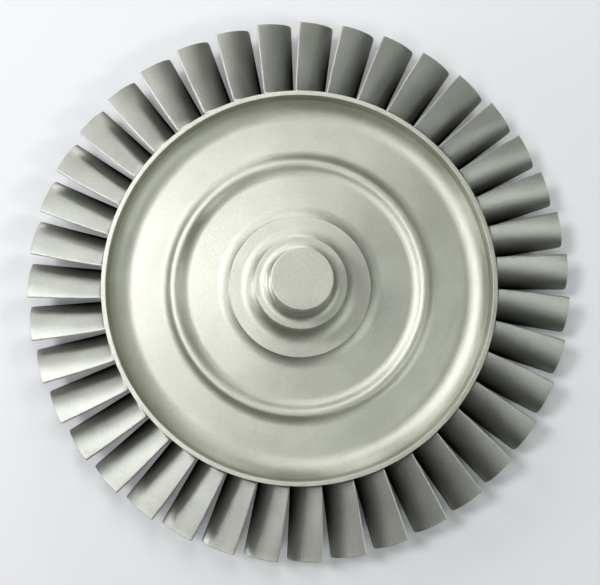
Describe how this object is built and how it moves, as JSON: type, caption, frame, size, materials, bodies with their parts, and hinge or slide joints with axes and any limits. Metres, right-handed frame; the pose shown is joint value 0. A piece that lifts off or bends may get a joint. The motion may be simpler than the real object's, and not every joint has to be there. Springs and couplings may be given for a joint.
{
  "type": "axial bladed impeller wheel",
  "caption": "Dished cast disc with a stepped round hub, a raised round bead and a full ring of thin twisted axial blades that drive, or are driven by, a stream along the shaft.",
  "frame": {"origin": "centre of the wheel on the floor, level with the rim's lower edge", "axes": "+Z is the wheel's turning axis and points out of the stepped hub; +X points to the first blade's leading edge, about; +Y is a quarter turn on, counter-clockwise seen from +Z"},
  "size_m": [0.3, 0.3, 0.072],
  "materials": {
    "disc_metal": "fine blasted casting skin, matt silver grey",
    "blade_metal": "fine blasted casting skin, matt grey"
  },
  "bodies": {
    "root": {"hub": "disc_metal", "plate": "disc_metal", "rim": "disc_metal", "blade_01": "blade_metal", "blade_02": "blade_metal", "blade_03": "blade_metal", "blade_04": "blade_metal", "blade_05": "blade_metal", "blade_06": "blade_metal", "blade_07": "blade_metal", "blade_08": "blade_metal", "blade_09": "blade_metal", "blade_10": "blade_metal", "blade_11": "blade_metal", "blade_12": "blade_metal", "blade_13": "blade_metal", "blade_14": "blade_metal", "blade_15": "blade_metal", "blade_16": "blade_metal", "blade_17": "blade_metal", "blade_18": "blade_metal", "blade_19": "blade_metal", "blade_20": "blade_metal", "blade_21": "blade_metal", "blade_22": "blade_metal", "blade_23": "blade_metal", "blade_24": "blade_metal", "blade_25": "blade_metal", "blade_26": "blade_metal", "blade_27": "blade_metal", "blade_28": "blade_metal", "blade_29": "blade_metal", "blade_30": "blade_metal", "blade_31": "blade_metal", "blade_32": "blade_metal", "blade_33": "blade_metal", "blade_34": "blade_metal", "blade_35": "blade_metal", "blade_36": "blade_metal", "blade_37": "blade_metal", "blade_38": "blade_metal", "blade_39": "blade_metal"}
  },
  "joints": []
}
